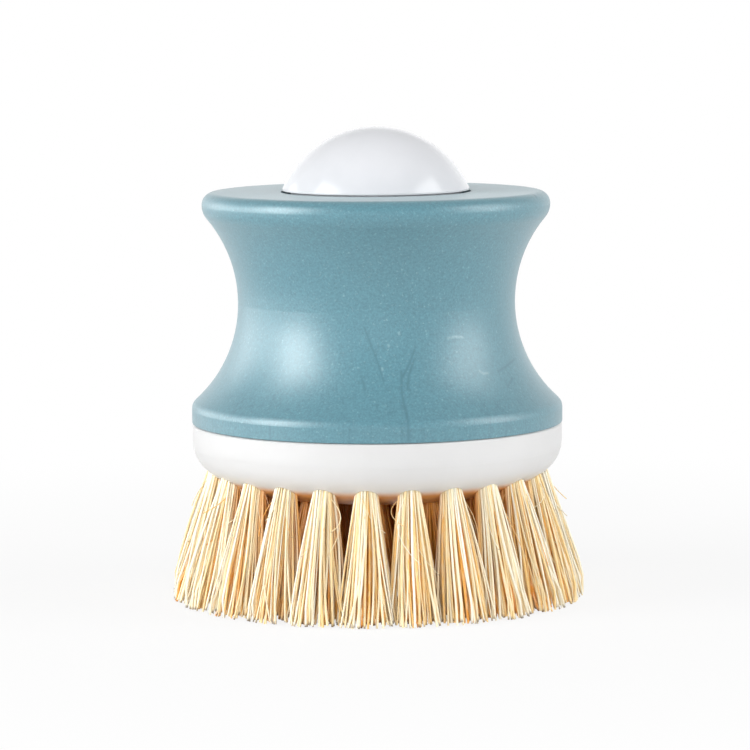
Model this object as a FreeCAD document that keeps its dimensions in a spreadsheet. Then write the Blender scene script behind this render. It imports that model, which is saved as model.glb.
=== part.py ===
import FreeCAD, Part
import math
import os
import Sketcher
from types import SimpleNamespace

# A palm dish brush that dispenses soap. A dome button on the deck of an hourglass handle drives a
# small piston pump. The pump draws soap from a tank inside the handle and pushes it through a slit
# valve in the middle of a round brush head, which unscrews from the tank for filling.
# The axis of the brush is Z, and the trimmed bristle tips lie on Z = 0. The front of the brush is -Y.

Vector = FreeCAD.Vector

# Driving sizes, in millimetres and degrees.
SIZES = {
    # handle, from outside
    "bristle_length": 20.4,  # from the trimmed tips up to the sole of the brush block
    "block_depth": 12.95,  # from the sole up to the rim of the block
    "seam_gap": 0.1,  # open seam between block and handle
    "shell_height": 43.7,  # from the lower edge of the handle up to its deck
    "base_radius": 35.25,
    "band_height": 3.55,  # upright band round the lower edge
    "waist_radius": 26.3,
    "waist_rise": 22.75,  # narrowest place, above the lower edge
    "rim_radius": 33.0,
    "rim_drop": 2.45,  # widest place of the rim, below the deck
    "rim_curve": 3.8,  # rounding under the rim
    "shell_wall": 2.6,
    "deck_haunch": 2.0,  # thicker corner under the deck
    "deck_rounding": 2.35,
    "shell_edge_rounding": 0.15,
    "band_rounding": 1.9,
    # button
    "dome_curve": 19.27,
    "dome_radius": 17.7,
    "dome_wall": 1.8,
    "dome_lip": 0.3,  # upright edge of the dome
    "button_lift": 0.25,  # gap between the dome's edge and the deck
    "button_stroke": 6.0,
    "button_clearance": 0.3,
    "skirt_radius": 16.2,
    "skirt_wall": 1.6,
    "skirt_floor_gap": 1.0,
    "rib_thickness": 1.4,
    "guide_rib_height": 6.0,
    "boss_wall": 2.0,
    "boss_gap": 0.6,
    "boss_roof": 2.5,
    # soap tank
    "tank_fit": 0.3,  # between the tank and the waist of the handle
    "tank_wall": 2.0,
    "tank_shoulder": 0.8,  # height of the cone between neck and tank
    "neck_length": 10.3,
    "well_depth": 11.05,
    "well_wall": 2.0,
    "well_fit": 0.15,
    "well_rib": 1.5,
    "well_rib_height": 2.0,
    "bulkhead_thickness": 2.5,
    # thread between tank and head, three starts
    "thread_lead": 12.0,
    "thread_height": 1.1,
    "thread_crest": 1.0,
    "thread_root": 1.9,
    "thread_clearance": 0.3,
    "thread_margin": 0.9,
    "thread_flank_gap": 0.3,
    "thread_sink": 0.25,  # how deep a ridge is rooted in its wall
    # brush block
    "block_inset": 0.1,
    "block_wall_height": 3.35,
    "block_edge_rounding": 0.35,
    "block_corner": 7.0,
    "block_corner_angle": 51.0,
    "floor_drop": 3.35,  # soap floor, below the rim of the block
    "block_floor": 1.2,  # floor of the block, welded to the tufted plate below it
    "collar_height": 11.0,  # threaded collar, above the soap floor
    "collar_wall": 3.2,
    "collar_gap": 1.0,
    "lip_wall": 1.4,
    "lip_height": 2.2,
    "lip_fit": 0.3,
    "outlet_radius": 5.1,
    "boss_height": 3.8,
    "boss_ring_wall": 1.6,
    "gasket_thickness": 1.7,
    "gasket_fit": 0.3,
    "face_gap": 0.05,
    # slit valve and its retainer
    "valve_flange": 1.2,
    "valve_wall": 0.9,
    "valve_drop": 4.2,
    "valve_fit": 0.4,
    "slit_width": 0.3,
    "slit_length": 5.0,
    "retainer_height": 1.2,
    "retainer_wall": 3.4,
    "retainer_fit": 0.05,
    # pump
    "bore_radius": 7.0,
    "barrel_wall": 1.4,
    "barrel_seat_gap": 0.3,
    "barrel_flange": 2.6,
    "barrel_flange_height": 2.4,
    "barrel_roof": 3.0,
    "barrel_neck_radius": 5.5,
    "barrel_neck_fit": 0.1,
    "barrel_neck_rise": 2.5,
    "washer_thickness": 1.0,
    "port_radius": 1.6,
    "port_gap": 0.6,
    "rod_radius": 3.0,
    "rod_fit": 0.05,
    "rod_collar": 1.6,
    "rod_collar_height": 1.2,
    "rod_neck_radius": 2.0,
    "rod_barb": 0.9,
    "rod_barb_height": 1.6,
    "stop_gap": 0.1,
    "cup_height": 4.8,
    "cup_lip_height": 1.4,
    "cup_lip_width": 1.0,
    "cup_fit": 0.07,
    "seal_section": 0.75,
    "seal_room": 0.05,
    "cap_wall": 1.5,
    "cap_fit": 0.05,
    "cap_flange": 2.0,
    "cap_flange_height": 1.2,
    "cap_roof": 1.2,
    "cap_hole_gap": 0.3,
    # return spring
    "wire_radius": 0.45,
    "spring_radius": 8.2,
    "spring_seat_gap": 0.05,
    "spring_end_rise": 1.5,  # rise of each closed end turn
    "spring_turns": 6,
    # tufts of fibre
    "hole_radius": 2.15,
    "tuft_fit": 0.05,
    "tuft_phase": -3.9,  # from the front, towards +X
    "trim_depth": 4.0,  # length cut off when the tufts are trimmed flat
    "hole_relief": 3.0,
    "floor_web": 0.8,  # plate left above the middle and inner holes
    "rim_web": 0.8,  # plate left above the outer holes
    "anchor_thickness": 0.4,
    "anchor_height": 2.0,
    "anchor_cover": 0.5,
    "outer_inset": 4.25,  # outer ring of tufts at the sole, inside the base radius
    "middle_share": 0.687,  # radius of the middle ring, as a share of the outer ring's
    "inner_share": 0.3935,
    "outer_count": 24,
    "outer_lean_angle": 11.0,
    "outer_fill": 0.942,  # share of the room between neighbours that a tuft fills at its tip
    "middle_count": 12,
    "middle_lean_angle": 6.0,
    "middle_fill": 0.857,
    "inner_count": 6,
    "inner_lean_angle": 2.0,
    "inner_fill": 0.697,
}
THREAD_STARTS = 3
BUTTON_RIBS = 4
CROSSED = 2  # cuts right across the axis, a quarter turn apart
QUARTER_TURN = 90
HALF_TURN = 180
FULL_TURN = 360


class Size:
    """A length kept with the spreadsheet expression that gives it."""

    def __init__(self, text, value):
        self.text = text
        self.value = value

    def __add__(self, other):
        return Size(f"({self.text} + {text_of(other)})", self.value + value_of(other))

    def __sub__(self, other):
        return Size(f"({self.text} - {text_of(other)})", self.value - value_of(other))

    def __mul__(self, other):
        return Size(f"({self.text} * {text_of(other)})", self.value * value_of(other))

    def __truediv__(self, other):
        return Size(f"({self.text} / {text_of(other)})", self.value / value_of(other))

    def __neg__(self):
        return Size(f"(-1 * {self.text})", -self.value)


def text_of(size):
    return size.text if isinstance(size, Size) else repr(size)


def value_of(size):
    return size.value if isinstance(size, Size) else size


def root(size):
    return Size(f"sqrt({size.text})", math.sqrt(size.value))


def sine(angle):
    return Size(f"sin({angle.text})", math.sin(math.radians(angle.value)))


def cosine(angle):
    return Size(f"cos({angle.text})", math.cos(math.radians(angle.value)))


def tangent(angle):
    return Size(f"tan({angle.text})", math.tan(math.radians(angle.value)))


def leg(slant, other_leg):
    """The second short side of a right triangle."""
    return root(slant * slant - other_leg * other_leg)


def bind(thing, name, size):
    thing.setExpression(name, text_of(size))


doc = FreeCAD.newDocument("palm_dish_brush")
sheet = doc.addObject("Spreadsheet::Sheet", "Sizes")
for row, (alias, number) in enumerate(SIZES.items(), start=1):
    sheet.set(f"A{row}", alias)
    sheet.set(f"B{row}", str(number))
    sheet.setAlias(f"B{row}", alias)
doc.recompute()
s = SimpleNamespace(**{alias: Size(f"Sizes.{alias}", float(sheet.get(alias))) for alias in SIZES})

# Heights of the main levels, from the bristle tips up.
sole = s.bristle_length
block_top = sole + s.block_depth
shell_bottom = block_top + s.seam_gap
deck = shell_bottom + s.shell_height
deck_under = deck - s.shell_wall
soap_floor = block_top - s.floor_drop
plate_top = soap_floor - s.block_floor
neck_end = soap_floor + s.gasket_thickness + s.face_gap
bulkhead_top = deck_under - s.well_depth
bulkhead_under = bulkhead_top - s.bulkhead_thickness
valve_top = soap_floor + s.valve_flange
retainer_top = valve_top + s.face_gap + s.retainer_height
barrel_end = retainer_top + s.face_gap
flange_top = bulkhead_under - s.washer_thickness
pump_roof = flange_top - s.barrel_roof
barrel_neck_top = bulkhead_top + s.barrel_neck_rise
cap_top = barrel_neck_top + s.face_gap + s.cap_roof
spring_bottom = bulkhead_top + s.cap_flange_height
dome_edge = deck + s.button_lift
collar_stop = pump_roof - s.stop_gap
cup_top = collar_stop - s.rod_collar_height
cup_bottom = cup_top - s.cup_height - s.cup_lip_height

# Radii that pieces share.
well_radius = s.dome_radius + s.button_clearance
boss_bore = s.bore_radius + s.barrel_wall + s.barrel_seat_gap
rod_hole = s.rod_radius + s.rod_fit
tuft_radius = s.hole_radius - s.tuft_fit

# Grip of the handle: one arc from the waist up to the rounding under the rim, one down to the band.
waist = shell_bottom + s.waist_rise
rim_height = deck - s.rim_drop
rim_rise = rim_height - waist
rim_step = s.waist_radius - s.rim_radius + s.rim_curve
upper_arc = (rim_step * rim_step + rim_rise * rim_rise - s.rim_curve * s.rim_curve) \
    / ((s.rim_radius - s.waist_radius) * 2)
flare = s.base_radius - s.waist_radius
flare_height = s.waist_rise - s.band_height
lower_arc = (flare_height * flare_height + flare * flare) / (flare * 2)
upper_centre = s.waist_radius + upper_arc
lower_centre = s.waist_radius + lower_arc

# The threaded collar of the head stands in the flare of the handle, and the tank's neck goes into it.
collar_top = soap_floor + s.collar_height
collar_radius = lower_centre - leg(lower_arc + s.shell_wall, waist - collar_top) - s.collar_gap
collar_bore = collar_radius - s.collar_wall
neck_radius = collar_bore - s.thread_clearance - s.thread_height
tank_bore = neck_radius - s.tank_wall

# The side of the head is one outline: an upright wall, a rounded corner and a belly down to the sole. The block
# and the tufted plate under it meet on the corner.
block_rim = s.base_radius - s.block_inset
wall_end = block_top - s.block_wall_height
bend = s.block_corner_angle
bend_radius = block_rim - s.block_corner + s.block_corner * cosine(bend)
bend_height = wall_end - s.block_corner * sine(bend)
plate_radius = block_rim - s.block_corner + leg(s.block_corner, wall_end - plate_top)

# Rings of tufts, by their radius at the sole.
outer_radius = s.base_radius - s.outer_inset
middle_radius = outer_radius * s.middle_share
inner_radius = outer_radius * s.inner_share
middle_hole_top = plate_top - s.floor_web


def tip_radius(count, radius, lean, fill):
    """Radius of a tuft at its tip, from the room between neighbours in its ring."""
    reach = radius + sole * tangent(lean)
    return reach * sine(Size(str(HALF_TURN), HALF_TURN) / count) * fill


def ring_of(count, radius, lean, fill, hole_top):
    return count, radius, lean, tip_radius(count, radius, lean, fill), hole_top


# Each ring: number, radius at the sole, lean, radius of a tuft at its tip, top of its hole.
RINGS = {
    "outer": ring_of(s.outer_count, outer_radius, s.outer_lean_angle, s.outer_fill, plate_top - s.rim_web),
    "middle": ring_of(s.middle_count, middle_radius, s.middle_lean_angle, s.middle_fill, middle_hole_top),
    "inner": ring_of(s.inner_count, inner_radius, s.inner_lean_angle, s.inner_fill, middle_hole_top),
}


def origin_feature(body, role):
    return next(feature for feature in body.Origin.OriginFeatures if feature.Role == role)


def new_body(label):
    body = doc.addObject("PartDesign::Body", label)
    body.Label = label
    return body


def new_sketch(body, name, plane="XZ_Plane"):
    sketch = body.newObject("Sketcher::SketchObject", name)
    sketch.AttachmentSupport = (origin_feature(body, plane), [""])
    sketch.MapMode = "FlatFace"
    return sketch


def arc_between(start, end, radius):
    """Short arc from start to end, its centre on the left for a radius over 0, else on the right."""
    chord = end - start
    side = Vector(-chord.y, chord.x, 0).normalize() * math.copysign(1, radius)
    depth = math.sqrt(radius * radius - chord.Length * chord.Length / 4)
    centre = (start + end) * 0.5 + side * depth
    first, last = (start, end) if radius > 0 else (end, start)
    turns = [math.atan2(point.y - centre.y, point.x - centre.x) for point in (first, last)]
    return Part.ArcOfCircle(Part.Circle(centre, Vector(0, 0, 1), abs(radius)), *turns)


def draw_outline(sketch, corners):
    """Closed outline through corners (x, y), or (x, y, radius) where an arc leads to the next one."""
    count = len(corners)
    points = [Vector(value_of(corner[0]), value_of(corner[1]), 0) for corner in corners]
    starts = []
    ends = []
    for index, corner in enumerate(corners):
        following = points[(index + 1) % count]
        if len(corner) == 2:
            edge = sketch.addGeometry(Part.LineSegment(points[index], following), False)
        else:
            edge = sketch.addGeometry(arc_between(points[index], following, value_of(corner[2])), False)
        backwards = len(corner) == 3 and value_of(corner[2]) < 0
        starts.append((edge, 2 if backwards else 1))
        ends.append((edge, 1 if backwards else 2))
    for index, corner in enumerate(corners):
        sketch.addConstraint(Sketcher.Constraint("Coincident", *ends[index - 1], *starts[index]))
        pin(sketch, "DistanceX", -2, starts[index], corner[0])
        pin(sketch, "DistanceY", -1, starts[index], corner[1])
        if len(corner) == 3:
            size_constraint(sketch, ("Radius", starts[index][0]), corner[2])


def pin(sketch, kind, axis, place, size):
    """Holds a corner at a distance from the sketch's origin, or on its axis."""
    if value_of(size) == 0:
        sketch.addConstraint(Sketcher.Constraint("PointOnObject", *place, axis))
    else:
        size_constraint(sketch, (kind, -1, 1, *place), size)


def size_constraint(sketch, place, size):
    positive = size if place[0] != "Radius" or value_of(size) > 0 else -size
    index = sketch.addConstraint(Sketcher.Constraint(*place, value_of(positive)))
    sketch.renameConstraint(index, f"size{index}")
    bind(sketch, f"Constraints.size{index}", positive)


def turn(body, name, corners, kind="PartDesign::Revolution"):
    """Solid, or cut, made by turning an outline of (radius, height) corners about the brush axis."""
    sketch = new_sketch(body, f"{name}_outline")
    draw_outline(sketch, corners)
    feature = body.newObject(kind, name)
    feature.Profile = sketch
    feature.ReferenceAxis = (sketch, ["V_Axis"])
    feature.Angle = FULL_TURN
    doc.recompute()
    return feature


def pattern(body, name, original, count, sweep=FULL_TURN):
    """Copies of a feature round the brush axis, spread evenly or over a part of a turn."""
    ring = body.newObject("PartDesign::PolarPattern", name)
    ring.Originals = [original]
    ring.Axis = (origin_feature(body, "Z_Axis"), [""])
    ring.Angle = sweep
    if isinstance(count, Size):
        bind(ring, "Occurrences", count)
    else:
        ring.Occurrences = count
    body.Tip = ring
    doc.recompute()
    return ring


def plate(body, name, sketch, thickness, kind="PartDesign::Pad"):
    """Pad or pocket that reaches equally to both sides of its sketch."""
    feature = body.newObject(kind, name)
    feature.Profile = sketch
    feature.SideType = "Symmetric"
    bind(feature, "Length", thickness)
    doc.recompute()
    return feature


def handle_shell():
    body = new_body("handle_shell")
    rim_under = upper_arc + s.rim_curve
    touch_radius = upper_centre - (upper_centre - s.rim_radius + s.rim_curve) * upper_arc / rim_under
    touch_height = waist + rim_rise * upper_arc / rim_under
    haunch = deck_under - s.deck_haunch
    haunch_radius = upper_centre - leg(upper_arc + s.shell_wall, haunch - waist)
    inner_base = s.base_radius - s.shell_wall
    inner_base_height = waist - leg(lower_arc + s.shell_wall, lower_centre - inner_base)
    band_reach = lower_centre - s.base_radius + s.band_rounding
    band_drop = leg(lower_arc + s.band_rounding, band_reach)
    flare_share = lower_arc / (lower_arc + s.band_rounding)
    edge = s.shell_edge_rounding
    rib_bore = well_radius + s.well_fit + s.well_wall + s.well_fit
    turn(body, "hourglass", [
        (inner_base, shell_bottom),
        (s.base_radius - edge, shell_bottom, edge),
        (s.base_radius, shell_bottom + edge),
        (s.base_radius, waist - band_drop, s.band_rounding),
        (lower_centre - band_reach * flare_share, waist - band_drop * flare_share, -lower_arc),
        (s.waist_radius, waist, -upper_arc),
        (touch_radius, touch_height, s.rim_curve),
        (s.rim_radius, rim_height),
        (s.rim_radius, deck - s.deck_rounding, s.deck_rounding),
        (s.rim_radius - s.deck_rounding, deck),
        (well_radius + edge, deck, edge),
        (well_radius, deck - edge),
        (well_radius, deck_under),
        (rib_bore, deck_under),
        (rib_bore, deck_under - s.well_rib_height),
        (rib_bore + s.well_rib, deck_under - s.well_rib_height),
        (rib_bore + s.well_rib, deck_under),
        (haunch_radius, deck_under),
        (haunch_radius, haunch, upper_arc + s.shell_wall),
        (s.waist_radius - s.shell_wall, waist, lower_arc + s.shell_wall),
        (inner_base, inner_base_height),
    ])
    return body


def thread(body, name, wall, crest, bottom, top):
    """Three helical ridges on a wall, rooted in it and reaching to the crest radius."""
    inward = value_of(crest) < value_of(wall)
    foot = wall + s.thread_sink if inward else wall - s.thread_sink
    flank = (s.thread_root - s.thread_crest) / 2
    sketch = new_sketch(body, f"{name}_outline")
    draw_outline(sketch, [
        (foot, bottom),
        (crest, bottom + flank),
        (crest, bottom + flank + s.thread_crest),
        (foot, bottom + s.thread_root),
    ])
    ridge = body.newObject("PartDesign::AdditiveHelix", name)
    ridge.Profile = sketch
    ridge.ReferenceAxis = (sketch, ["V_Axis"])
    ridge.Mode = 0
    bind(ridge, "Pitch", s.thread_lead)
    bind(ridge, "Height", top - bottom - s.thread_root)
    doc.recompute()
    return pattern(body, f"{name}_starts", ridge, THREAD_STARTS)


def soap_tank():
    body = new_body("soap_tank")
    body_radius = s.waist_radius - s.shell_wall - s.tank_fit
    well_bore = well_radius + s.well_fit
    shoulder = neck_end + s.neck_length
    turn(body, "tank", [
        (tank_bore, neck_end),
        (neck_radius, neck_end),
        (neck_radius, shoulder),
        (body_radius, shoulder + s.tank_shoulder),
        (body_radius, bulkhead_top),
        (well_bore + s.well_wall, bulkhead_top),
        (well_bore + s.well_wall, deck_under - s.face_gap),
        (well_bore, deck_under - s.face_gap),
        (well_bore, bulkhead_top),
        (s.barrel_neck_radius + s.barrel_neck_fit, bulkhead_top),
        (s.barrel_neck_radius + s.barrel_neck_fit, bulkhead_under),
        (tank_bore, bulkhead_under),
    ])
    thread(body, "neck_thread", neck_radius, neck_radius + s.thread_height,
           neck_end + s.thread_margin, collar_top - s.thread_margin)
    return face_front(body)


def pump_barrel():
    body = new_body("pump_barrel")
    outer = s.bore_radius + s.barrel_wall
    seal_radius = rod_hole + s.seal_section * 2 + s.seal_room
    seal_floor = barrel_neck_top - s.seal_section * 2 - s.seal_room * 2
    turn(body, "barrel", [
        (s.bore_radius, barrel_end),
        (outer, barrel_end),
        (outer, flange_top - s.barrel_flange_height),
        (outer + s.barrel_flange, flange_top - s.barrel_flange_height),
        (outer + s.barrel_flange, flange_top),
        (s.barrel_neck_radius, flange_top),
        (s.barrel_neck_radius, barrel_neck_top),
        (seal_radius, barrel_neck_top),
        (seal_radius, seal_floor),
        (rod_hole, seal_floor),
        (rod_hole, pump_roof),
        (s.bore_radius, pump_roof),
    ])
    sketch = new_sketch(body, "port_outline")
    port_height = cup_bottom - s.port_gap - s.port_radius
    sketch.addGeometry(Part.Circle(Vector(0, value_of(port_height), 0), Vector(0, 0, 1), s.port_radius.value), False)
    sketch.addConstraint(Sketcher.Constraint("PointOnObject", 0, 3, -2))
    size_constraint(sketch, ("DistanceY", -1, 1, 0, 3), port_height)
    size_constraint(sketch, ("Radius", 0), s.port_radius)
    port = plate(body, "port", sketch, (outer + s.barrel_wall) * 2, "PartDesign::Pocket")
    pattern(body, "ports", port, CROSSED, QUARTER_TURN)
    return body


def barrel_washer():
    body = new_body("barrel_washer")
    inner = s.barrel_neck_radius + s.barrel_neck_fit
    outer = s.bore_radius + s.barrel_wall + s.barrel_flange
    turn(body, "washer", [
        (inner, flange_top),
        (outer, flange_top),
        (outer, bulkhead_under),
        (inner, bulkhead_under),
    ])
    return body


def gland_cap():
    body = new_body("gland_cap")
    bore = s.barrel_neck_radius + s.cap_fit
    outer = bore + s.cap_wall
    hole = rod_hole + s.cap_hole_gap
    roof = barrel_neck_top + s.face_gap
    turn(body, "cap", [
        (bore, bulkhead_top),
        (outer + s.cap_flange, bulkhead_top),
        (outer + s.cap_flange, spring_bottom),
        (outer, spring_bottom),
        (outer, cap_top),
        (hole, cap_top),
        (hole, roof),
        (bore, roof),
    ])
    return body


def rod_seal():
    seal = doc.addObject("Part::Torus", "rod_seal")
    seal.Label = "rod_seal"
    bind(seal, "Radius1", rod_hole + s.seal_section)
    bind(seal, "Radius2", s.seal_section)
    bind(seal, "Placement.Base.z", barrel_neck_top - s.seal_section - s.seal_room)
    return seal


def button_dome():
    body = new_body("button_dome")
    centre = dome_edge + s.dome_lip - leg(s.dome_curve, s.dome_radius)
    inner_curve = s.dome_curve - s.dome_wall
    skirt_bore = s.skirt_radius - s.skirt_wall
    skirt_end = bulkhead_top + s.button_stroke + s.skirt_floor_gap
    boss_radius = rod_hole + s.boss_wall
    boss_end = cap_top + s.button_stroke + s.boss_gap
    boss_depth = centre + inner_curve - s.boss_roof
    turn(body, "dome", [
        (0, centre + s.dome_curve, -s.dome_curve),
        (s.dome_radius, dome_edge + s.dome_lip),
        (s.dome_radius, dome_edge),
        (s.skirt_radius, dome_edge),
        (s.skirt_radius, skirt_end),
        (skirt_bore, skirt_end),
        (skirt_bore, centre + leg(inner_curve, skirt_bore), inner_curve),
        (boss_radius, centre + leg(inner_curve, boss_radius)),
        (boss_radius, boss_end),
        (rod_hole, boss_end),
        (rod_hole, boss_depth),
        (0, boss_depth),
    ])
    middle_curve = s.dome_curve - s.dome_wall / 2
    rib_end = s.skirt_radius - s.skirt_wall / 2
    rib_start = rod_hole + s.boss_wall / 2
    rib_sketch = new_sketch(body, "rib_outline")
    draw_outline(rib_sketch, [
        (rib_start, dome_edge),
        (rib_end, dome_edge),
        (rib_end, centre + leg(middle_curve, rib_end), middle_curve),
        (rib_start, centre + leg(middle_curve, rib_start)),
    ])
    rib = plate(body, "rib", rib_sketch, s.rib_thickness)
    pattern(body, "ribs", rib, BUTTON_RIBS)
    guide_sketch = new_sketch(body, "guide_outline")
    draw_outline(guide_sketch, [
        (rib_end, skirt_end),
        (s.dome_radius, skirt_end),
        (s.dome_radius, skirt_end + s.guide_rib_height),
        (rib_end, skirt_end + s.guide_rib_height),
    ])
    guide = plate(body, "guide", guide_sketch, s.rib_thickness)
    pattern(body, "guides", guide, BUTTON_RIBS)
    return body


def plunger_rod():
    body = new_body("plunger_rod")
    centre = dome_edge + s.dome_lip - leg(s.dome_curve, s.dome_radius)
    rod_top = centre + s.dome_curve - s.dome_wall - s.boss_roof - s.face_gap
    collar = s.rod_radius + s.rod_collar
    neck_bottom = cup_top - s.cup_height
    barb_end = neck_bottom - s.rod_barb_height
    turn(body, "rod", [
        (0, barb_end),
        (s.rod_neck_radius, barb_end),
        (s.rod_neck_radius + s.rod_barb, neck_bottom),
        (s.rod_neck_radius, neck_bottom),
        (s.rod_neck_radius, cup_top),
        (collar, cup_top),
        (collar, collar_stop),
        (s.rod_radius, collar_stop),
        (s.rod_radius, rod_top),
        (0, rod_top),
    ])
    return body


def piston_cup():
    body = new_body("piston_cup")
    bore = s.rod_neck_radius + s.rod_fit
    lip = s.bore_radius - s.cup_fit
    waist_of_cup = lip - s.cup_lip_width / 2
    foot = cup_top - s.cup_height + s.face_gap
    foot_radius = bore + (lip - bore) / 2
    turn(body, "cup", [
        (bore, foot),
        (foot_radius, foot),
        (lip - s.cup_lip_width, cup_bottom),
        (lip, cup_bottom),
        (lip, cup_bottom + s.cup_lip_height),
        (waist_of_cup, foot + s.cup_lip_height),
        (waist_of_cup, cup_top - s.face_gap),
        (bore, cup_top - s.face_gap),
    ])
    return body


def helix_state(turns_done, pitch_at_ends, pitch_between, turns, start):
    """Point and direction of the spring's centre line after some turns."""
    angle = 2 * math.pi * turns_done
    end_turn = min(turns_done, 1)
    last_turn = max(turns_done - (turns - 1), 0)
    height = start + pitch_at_ends * (end_turn + last_turn) + pitch_between * (turns_done - end_turn - last_turn)
    closed = turns_done < 1 or turns_done > turns - 1
    rise = (pitch_at_ends if closed else pitch_between) / (2 * math.pi)
    if turns_done in (1, turns - 1):
        rise = (pitch_at_ends + pitch_between) / (4 * math.pi)
    radius = s.spring_radius.value
    point = Vector(radius * math.cos(angle), radius * math.sin(angle), height)
    direction = Vector(-radius * math.sin(angle), radius * math.cos(angle), rise).normalize()
    return point, direction


def arc_edge(start, direction, end):
    """Circular arc from start, leaving in the given direction, to end."""
    chord = end - start
    along = Vector(chord).normalize()
    across = (direction - along * direction.dot(along)).normalize()
    half_turn = math.acos(min(direction.dot(along), 1)) / 2
    middle = (start + end) * 0.5 + across * (chord.Length / 2 * math.tan(half_turn))
    return Part.Arc(start, middle, end).toShape()


def biarc(start, start_direction, end, end_direction):
    """Two tangent arcs between two points with given directions."""
    chord = end - start
    both = start_direction + end_direction
    square = 2 * (1 - start_direction.dot(end_direction))
    reach = (-chord.dot(both) + math.sqrt(chord.dot(both) ** 2 + square * chord.dot(chord))) / square
    joint = (start + end + (start_direction - end_direction) * reach) * 0.5
    joint_direction = (joint - start - start_direction * reach).normalize()
    return [arc_edge(start, start_direction, joint), arc_edge(joint, joint_direction, end)]


def return_spring():
    wire = s.wire_radius.value
    turns = round(s.spring_turns.value)
    start = spring_bottom.value + s.spring_seat_gap.value + wire
    end = dome_edge.value - s.spring_seat_gap.value - wire
    step = s.spring_end_rise.value
    between = (end - start - 2 * step) / (turns - 2)
    states = [helix_state(quarter / 4, step, between, turns, start) for quarter in range(4 * turns + 1)]
    edges = []
    for (point, direction), (next_point, next_direction) in zip(states, states[1:]):
        edges.extend(biarc(point, direction, next_point, next_direction))
    path = Part.Wire(edges)
    section = Part.Wire(Part.makeCircle(wire, states[0][0], states[0][1]))
    solid = path.makePipeShell([section], True, False)
    spring = doc.addObject("Part::Feature", "return_spring")
    spring.Label = "return_spring"
    spring.Shape = solid
    fine = [helix_state(number / 36, step, between, turns, start)[0] for number in range(36 * turns + 1)]
    gap = min((one - two).Length for first, one in enumerate(fine) for two in fine[first + 18:]) - 2 * wire
    expected = math.pi * wire ** 2 * path.Length
    print(f"return_spring: least gap to itself {gap:.2f} mm, volume {solid.Volume / expected:.4f} of wire")
    return spring


def head_gasket():
    body = new_body("head_gasket")
    outer = collar_bore - s.gasket_fit
    turn(body, "gasket", [
        (tank_bore, soap_floor),
        (outer, soap_floor),
        (outer, soap_floor + s.gasket_thickness),
        (tank_bore, soap_floor + s.gasket_thickness),
    ])
    return body


def tuft_sketch(body, name, radius, lean):
    """Sketch that leans with a tuft: its V axis is the tuft's axis, and 0 is below the trimmed tip."""
    sketch = new_sketch(body, name)
    bind(sketch, "AttachmentOffset.Base.x", radius + (sole + s.trim_depth) * tangent(lean))
    bind(sketch, "AttachmentOffset.Base.y", -s.trim_depth)
    sketch.AttachmentOffset.Rotation = FreeCAD.Rotation(Vector(0, 0, 1), lean.value)
    bind(sketch, "AttachmentOffset.Rotation.Angle", lean)
    return sketch


def along_tuft(height, lean):
    """Distance along a tuft, from the origin of its sketch, at which it reaches a height."""
    return (height + s.trim_depth) / cosine(lean)


def brush_block():
    body = new_body("brush_block")
    lip = s.base_radius - s.shell_wall - s.lip_fit
    turn(body, "block", [
        (block_rim, block_top - s.block_edge_rounding, s.block_edge_rounding),
        (block_rim - s.block_edge_rounding, block_top),
        (lip, block_top),
        (lip, block_top + s.lip_height),
        (lip - s.lip_wall, block_top + s.lip_height),
        (lip - s.lip_wall, block_top),
        (collar_radius, block_top),
        (collar_radius, collar_top),
        (collar_bore, collar_top),
        (collar_bore, soap_floor),
        (boss_bore + s.boss_ring_wall, soap_floor),
        (boss_bore + s.boss_ring_wall, soap_floor + s.boss_height),
        (boss_bore, soap_floor + s.boss_height),
        (boss_bore, soap_floor),
        (s.outlet_radius, soap_floor),
        (s.outlet_radius, plate_top),
        (plate_radius, plate_top, s.block_corner),
        (block_rim, wall_end),
    ])
    flank = (s.thread_root - s.thread_crest) / 2
    flank_share = -(s.thread_clearance / s.thread_height - 1)
    ridge_step = s.thread_crest + flank * flank_share + s.thread_flank_gap
    thread(body, "collar_thread", collar_bore, collar_bore - s.thread_height,
           neck_end + s.thread_margin + ridge_step, collar_top - s.thread_margin / 2)
    return face_front(body)


def tuft_plate():
    body = new_body("tuft_plate")
    belly = (wall_end - sole - s.block_corner * sine(bend)) / (-(sine(bend) - 1))
    turn(body, "plate", [
        (s.outlet_radius, plate_top),
        (s.outlet_radius, sole),
        (bend_radius - belly * cosine(bend), sole, belly),
        (bend_radius, bend_height, s.block_corner),
        (plate_radius, plate_top),
    ])
    for ring, (count, radius, lean, _, hole_top) in RINGS.items():
        sketch = tuft_sketch(body, f"{ring}_hole_outline", radius, lean)
        mouth = along_tuft(sole, lean) - s.hole_relief
        draw_outline(sketch, [
            (0, mouth),
            (s.hole_radius, mouth),
            (s.hole_radius, along_tuft(hole_top, lean)),
            (0, along_tuft(hole_top, lean)),
        ])
        hole = body.newObject("PartDesign::Groove", f"{ring}_hole")
        hole.Profile = sketch
        hole.ReferenceAxis = (sketch, ["V_Axis"])
        hole.Angle = FULL_TURN
        doc.recompute()
        pattern(body, f"{ring}_holes", hole, count)
    return face_front(body)


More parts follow.
